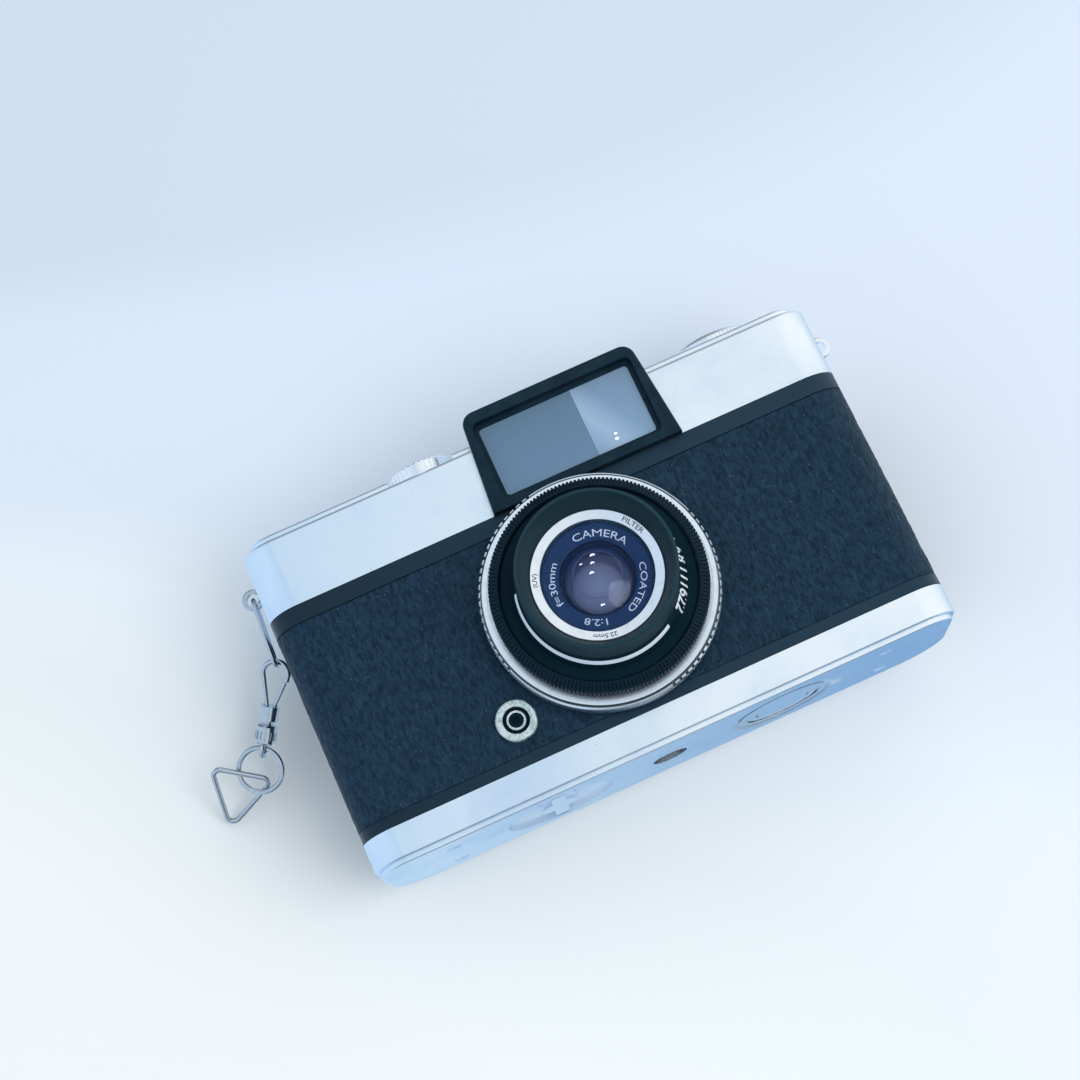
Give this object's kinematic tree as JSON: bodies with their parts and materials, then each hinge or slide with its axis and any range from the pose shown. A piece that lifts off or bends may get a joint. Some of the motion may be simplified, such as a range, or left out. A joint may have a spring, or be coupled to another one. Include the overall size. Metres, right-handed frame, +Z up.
{
  "type": "half frame camera",
  "caption": "Compact half frame 35 mm film camera with a toothed focus ring, raised finder, thumb wheel advance, removable back and a snap hook chain on one strap lug.",
  "frame": {"origin": "on the tripod bush axis, in the plane of the bottom plate", "axes": "+Z up, the lens faces -Y, +X to the right as seen from the front"},
  "size_m": [0.1341, 0.0508, 0.069],
  "materials": {
    "casting_alloy": "die-cast light alloy under semi-gloss black enamel",
    "satin_chrome": "satin grained chrome plate",
    "polished_chrome": "polished chrome",
    "steel": "bright steel",
    "chain_steel": "nickel plate, worn",
    "ring_chrome": "satin chrome on brass, turned",
    "ring_aluminium": "satin anodised",
    "black_enamel": "semi-gloss black enamel",
    "nameplate_blue": "blue-black enamel",
    "leatherette": "black wrinkled leatherette",
    "black_plastic": "black plastic with a fine grain",
    "clear_glass": "polished glass",
    "coated_glass": "coated optical glass",
    "frosted_window": "frosted window",
    "socket_nickel": "nickel plate, tarnished"
  },
  "bodies": {
    "camera_body": {"body_casting": "casting_alloy", "front_leatherette": "leatherette", "cassette_housing": "casting_alloy", "top_cover": "satin_chrome", "strap_lug_left": "polished_chrome", "strap_lug_right": "polished_chrome", "viewfinder_bezel": "black_plastic", "frameline_window": "frosted_window", "viewfinder_front_lens": "clear_glass", "viewfinder_tunnel": "black_plastic", "viewfinder_eye_lens": "clear_glass", "eyepiece_bezel": "black_plastic", "accessory_shoe": "polished_chrome", "shoe_screws": "steel", "shutter_housing": "casting_alloy", "scale_ring": "black_enamel", "rear_cell": "casting_alloy", "rear_elements": "coated_glass", "sync_flange": "socket_nickel", "sync_insulator": "black_plastic", "sync_sleeve": "socket_nickel", "button_guide": "polished_chrome", "button_spring": "steel"},
    "removable_back": {"bottom_plate": "satin_chrome", "tripod_bush": "polished_chrome", "back_cover": "black_enamel", "back_leatherette": "leatherette", "pressure_spring": "steel"},
    "pressure_plate": {"pressure_plate": "black_enamel"},
    "left_key": {"lock_key_left": "polished_chrome"},
    "right_key": {"lock_key_right": "polished_chrome"},
    "right_key_bail": {"key_bail": "polished_chrome"},
    "focus_ring": {"focus_ring": "ring_chrome"},
    "front_cell": {"front_barrel": "casting_alloy", "filter_ring": "ring_aluminium", "filter_glass": "clear_glass", "lens_nameplate": "nameplate_blue", "front_elements": "coated_glass"},
    "speed_ring": {"shutter_speed_ring": "black_enamel"},
    "aperture_ring": {"aperture_ring": "black_enamel"},
    "aperture_blade_1": {"aperture_blade_1": "steel"},
    "aperture_blade_2": {"aperture_blade_2": "steel"},
    "aperture_blade_3": {"aperture_blade_3": "steel"},
    "shutter_blade_1": {"shutter_blade_1": "steel"},
    "shutter_blade_2": {"shutter_blade_2": "steel"},
    "shutter_button": {"shutter_button": "polished_chrome"},
    "counter_dial": {"counter_dial": "polished_chrome"},
    "advance_wheel": {"advance_wheel": "polished_chrome"},
    "take_up_spool": {"take_up_spool": "black_plastic"},
    "idler_gear": {"idler_gear": "steel"},
    "sprocket": {"sprocket": "black_plastic"},
    "rewind_sleeve": {"rewind_sleeve": "polished_chrome"},
    "rewind_knob": {"rewind_knob": "polished_chrome"},
    "rewind_crank": {"rewind_crank": "polished_chrome"},
    "chain_ring": {"split_ring": "chain_steel"},
    "snap_hook": {"snap_hook": "chain_steel"},
    "snap_gate": {"snap_gate": "chain_steel"},
    "swivel": {"swivel": "chain_steel"},
    "round_ring": {"round_ring": "chain_steel"},
    "triangle_ring": {"triangle_ring": "chain_steel"}
  },
  "joints": [
    {"name": "back_slide", "type": "slide", "parent": "camera_body", "child": "removable_back", "axis": [0, 0, -1], "range_m": [0, 0.07]},
    {"name": "pressure_plate_float", "type": "slide", "parent": "removable_back", "child": "pressure_plate", "axis": [0, 1, 0], "range_m": [0, 0.0005], "stiffness_N_per_m": 800, "springref_m": -0.0005},
    {"name": "left_key_turn", "type": "hinge", "parent": "removable_back", "child": "left_key", "pos_m": [-0.0206, 0, 0.001], "axis": [0, 0, 1], "range_deg": [-90, 0]},
    {"name": "right_key_turn", "type": "hinge", "parent": "removable_back", "child": "right_key", "pos_m": [0.0213, 0, 0.001], "axis": [0, 0, 1], "range_deg": [0, 90]},
    {"name": "key_bail_fold", "type": "hinge", "parent": "right_key", "child": "right_key_bail", "pos_m": [0.0213, 0, 0.0006], "axis": [1, 0, 0], "range_deg": [-100, 0]},
    {"name": "focus_turn", "type": "hinge", "parent": "camera_body", "child": "focus_ring", "pos_m": [0, -0.0165, 0.0277], "axis": [0, -1, 0], "range_deg": [0, 150]},
    {"name": "front_cell_focus", "type": "slide", "parent": "camera_body", "child": "front_cell", "axis": [0, -1, 0], "range_m": [0, 0.0015]},
    {"name": "shutter_speed_turn", "type": "hinge", "parent": "camera_body", "child": "speed_ring", "pos_m": [0, -0.0205, 0.0277], "axis": [0, -1, 0], "range_deg": [-70, 70]},
    {"name": "aperture_turn", "type": "hinge", "parent": "camera_body", "child": "aperture_ring", "pos_m": [0, -0.0235, 0.0277], "axis": [0, -1, 0], "range_deg": [0, 64]},
    {"name": "aperture_blade_1_turn", "type": "hinge", "parent": "camera_body", "child": "aperture_blade_1", "pos_m": [0, -0.0165, 0.04], "axis": [0, -1, 0], "range_deg": [0, 32]},
    {"name": "aperture_blade_2_turn", "type": "hinge", "parent": "camera_body", "child": "aperture_blade_2", "pos_m": [-0.01065, -0.0165, 0.02155], "axis": [0, -1, 0], "range_deg": [0, 32]},
    {"name": "aperture_blade_3_turn", "type": "hinge", "parent": "camera_body", "child": "aperture_blade_3", "pos_m": [0.01065, -0.0165, 0.02155], "axis": [0, -1, 0], "range_deg": [0, 32]},
    {"name": "shutter_blade_1_turn", "type": "hinge", "parent": "camera_body", "child": "shutter_blade_1", "pos_m": [0.0123, -0.0165, 0.0277], "axis": [0, -1, 0], "range_deg": [-45, 0]},
    {"name": "shutter_blade_2_turn", "type": "hinge", "parent": "camera_body", "child": "shutter_blade_2", "pos_m": [-0.0123, -0.0165, 0.0277], "axis": [0, -1, 0], "range_deg": [-45, 0]},
    {"name": "button_press", "type": "slide", "parent": "camera_body", "child": "shutter_button", "axis": [0, 0, -1], "range_m": [0, 0.0018], "stiffness_N_per_m": 600, "springref_m": -0.001, "deforming": ["button_spring"]},
    {"name": "advance_turn", "type": "hinge", "parent": "camera_body", "child": "advance_wheel", "pos_m": [-0.03608, 0.0063, 0.05], "axis": [0, 0, 1], "continuous": true},
    {"name": "take_up_turn", "type": "hinge", "parent": "camera_body", "child": "take_up_spool", "pos_m": [-0.041, 0, 0.025], "axis": [0, 0, 1], "continuous": true},
    {"name": "idler_turn", "type": "hinge", "parent": "camera_body", "child": "idler_gear", "pos_m": [-0.03376, 0.00042, 0.0488], "axis": [0, 0, 1], "continuous": true},
    {"name": "sprocket_turn", "type": "hinge", "parent": "camera_body", "child": "sprocket", "pos_m": [-0.02453, 0.00095, 0.025], "axis": [0, 0, 1], "continuous": true},
    {"name": "counter_turn", "type": "hinge", "parent": "camera_body", "child": "counter_dial", "pos_m": [-0.0192, -0.0064, 0.062], "axis": [0, 0, 1], "continuous": true},
    {"name": "rewind_turn", "type": "hinge", "parent": "camera_body", "child": "rewind_sleeve", "pos_m": [0.0374, 0, 0.05], "axis": [0, 0, 1], "continuous": true},
    {"name": "rewind_lift", "type": "slide", "parent": "rewind_sleeve", "child": "rewind_knob", "axis": [0, 0, 1], "range_m": [0, 0.006]},
    {"name": "crank_fold", "type": "hinge", "parent": "rewind_knob", "child": "rewind_crank", "pos_m": [0.0319, 0, 0.06435], "axis": [0, -1, 0], "range_deg": [0, 120]},
    {"name": "chain_ring_swing", "type": "hinge", "parent": "camera_body", "child": "chain_ring", "pos_m": [-0.0554, 0, 0.056], "axis": [0, 1, 0], "range_deg": [-1, 40]},
    {"name": "snap_hook_swing", "type": "hinge", "parent": "chain_ring", "child": "snap_hook", "pos_m": [-0.0565, 0.0046, 0.0445], "axis": [0, 1, 0], "range_deg": [-8, 30]},
    {"name": "snap_gate_open", "type": "hinge", "parent": "snap_hook", "child": "snap_gate", "pos_m": [-0.05974, 0.00705, 0.03863], "axis": [-0.2, -0.9384, -0.2818], "range_deg": [0, 18]},
    {"name": "swivel_turn", "type": "hinge", "parent": "snap_hook", "child": "swivel", "pos_m": [-0.0609, 0.0074, 0.0383], "axis": [0.5431, -0.3456, 0.7653], "range_deg": [-40, 40]},
    {"name": "round_ring_swing", "type": "hinge", "parent": "swivel", "child": "round_ring", "pos_m": [-0.06476, 0.00985, 0.03287], "axis": [0.8155, 0, -0.5787], "range_deg": [-25, 25]},
    {"name": "triangle_swing", "type": "hinge", "parent": "round_ring", "child": "triangle_ring", "pos_m": [-0.06899, 0.01255, 0.0269], "axis": [-0.2, -0.9384, -0.2818], "range_deg": [-15, 5]}
  ],
  "couplings": [
    {"joint": "front_cell_focus", "follows": "focus_turn", "m_per_rad": 0.0005729},
    {"joint": "aperture_blade_1_turn", "follows": "aperture_turn", "ratio": 0.5},
    {"joint": "aperture_blade_2_turn", "follows": "aperture_turn", "ratio": 0.5},
    {"joint": "aperture_blade_3_turn", "follows": "aperture_turn", "ratio": 0.5},
    {"joint": "shutter_blade_2_turn", "follows": "shutter_blade_1_turn", "ratio": 1},
    {"joint": "take_up_turn", "follows": "advance_turn", "ratio": -1},
    {"joint": "idler_turn", "follows": "advance_turn", "ratio": 1.2308},
    {"joint": "sprocket_turn", "follows": "advance_turn", "ratio": -0.66667},
    {"joint": "counter_turn", "follows": "advance_turn", "ratio": -0.018519}
  ]
}
